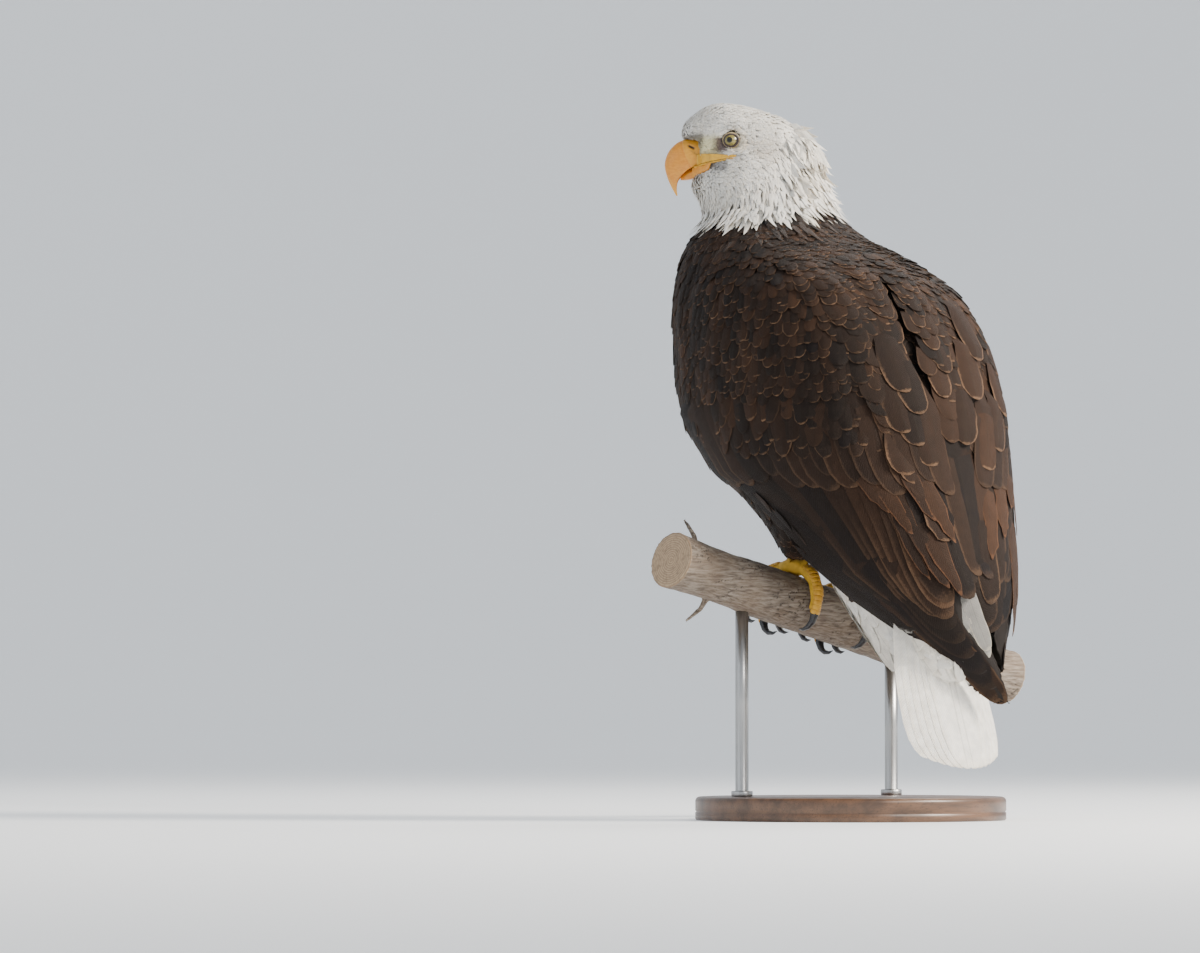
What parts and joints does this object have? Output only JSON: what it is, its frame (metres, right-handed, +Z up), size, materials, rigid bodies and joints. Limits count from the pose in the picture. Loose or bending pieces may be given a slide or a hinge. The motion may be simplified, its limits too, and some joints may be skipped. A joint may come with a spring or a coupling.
{
  "type": "bald eagle, adult, perched on a cut length of branch, still life-size display model",
  "caption": "Life-size adult bald eagle gripping a short cut branch, wings folded and head turned to its left, on a round display stand.",
  "frame": {"origin": "centre of the underside of the stand's round base", "axes": "+Z up; the bird's body faces -Y; its left side is +X; the branch runs along X"},
  "size_m": [0.5187, 0.4096, 0.7713],
  "materials": {
    "white_plumage": "soft white feathers, matt",
    "brown_plumage": "dark chocolate-brown feathers with thin pale edges, slight sheen",
    "bill": "smooth orange-yellow horn, satin",
    "eye": "wet and glossy, pale yellow iris round a black pupil",
    "foot_skin": "yellow scaly skin, satin",
    "claw": "smooth black horn",
    "branch_wood": "bare weathered grey-brown wood, rough",
    "stand_wood": "dark stained wood, satin",
    "stand_steel": "plain satin steel rod"
  },
  "bodies": {
    "root": {"head": "white_plumage", "neck": "white_plumage", "tail_coverts": "white_plumage", "tail": "white_plumage", "trunk": "brown_plumage", "wing_left": "brown_plumage", "wing_right": "brown_plumage", "thigh_left": "brown_plumage", "thigh_right": "brown_plumage", "bill_upper": "bill", "bill_lower": "bill", "eye_left": "eye", "eye_right": "eye", "shank_left": "foot_skin", "shank_right": "foot_skin", "foot_left": "foot_skin", "foot_right": "foot_skin", "perch": "branch_wood", "stand_base": "stand_wood", "stand_rod_1": "stand_steel", "stand_rod_2": "stand_steel", "claw_left_inner": "claw", "claw_left_middle": "claw", "claw_left_outer": "claw", "claw_left_hind": "claw", "claw_right_inner": "claw", "claw_right_middle": "claw", "claw_right_outer": "claw", "claw_right_hind": "claw"}
  },
  "joints": []
}
